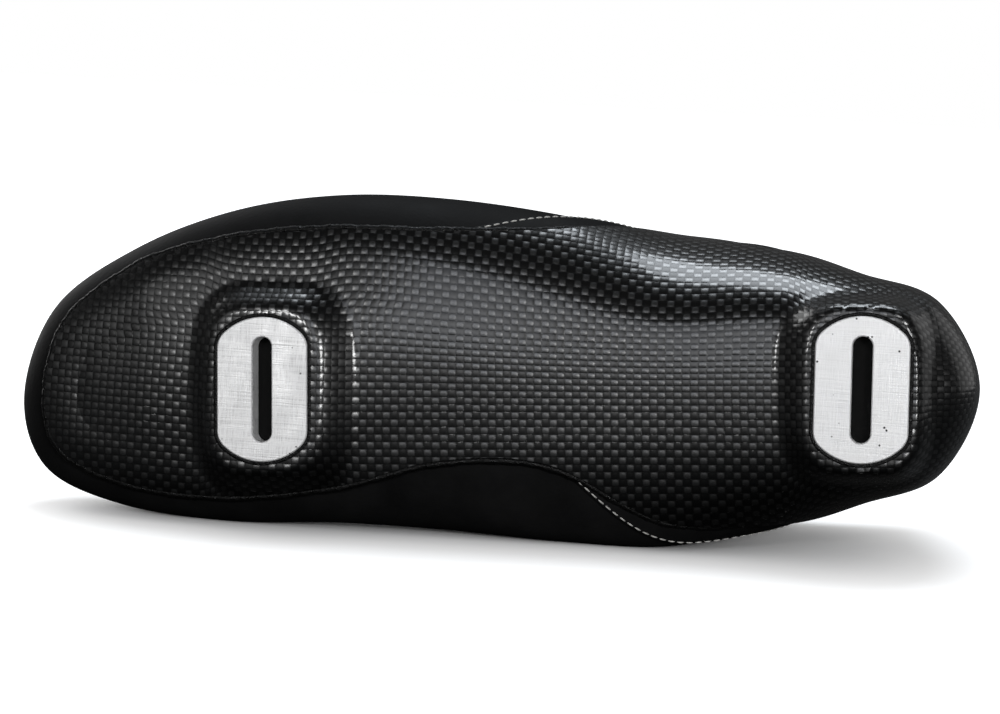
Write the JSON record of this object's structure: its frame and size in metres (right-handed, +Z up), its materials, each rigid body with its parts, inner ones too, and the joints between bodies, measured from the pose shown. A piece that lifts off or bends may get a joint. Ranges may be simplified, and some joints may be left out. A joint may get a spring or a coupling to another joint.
{
  "type": "speed skating boot",
  "caption": "Left speed skating boot on its side: carbon shell with slotted aluminium mount plates under heel and ball, and a low black leather upper with tongue and lace.",
  "frame": {"origin": "middle of the bottom of the bounding box, on the floor", "axes": "+Z up. The boot lies on its inner side: the toe points to -X, the heel to +X, the sole faces -Y and the outer side of the foot is up."},
  "size_m": [0.3252, 0.1472, 0.1132],
  "materials": {
    "carbon": "gloss",
    "aluminium": "satin",
    "leather": "satin",
    "board": "matte",
    "cloth": "matte",
    "enamel": "satin"
  },
  "bodies": {
    "root": {"carbon_shell": "carbon", "front_mount_plate": "aluminium", "rear_mount_plate": "aluminium", "upper": "leather", "counter_panel": "leather", "insole": "board", "tongue": "leather", "eyelet_outer_1": "enamel", "eyelet_outer_2": "enamel", "eyelet_outer_3": "enamel", "eyelet_outer_4": "enamel", "eyelet_outer_5": "enamel", "eyelet_outer_6": "enamel", "eyelet_inner_1": "enamel", "eyelet_inner_2": "enamel", "eyelet_inner_3": "enamel", "eyelet_inner_4": "enamel", "eyelet_inner_5": "enamel", "eyelet_inner_6": "enamel", "lace": "cloth"}
  },
  "joints": []
}
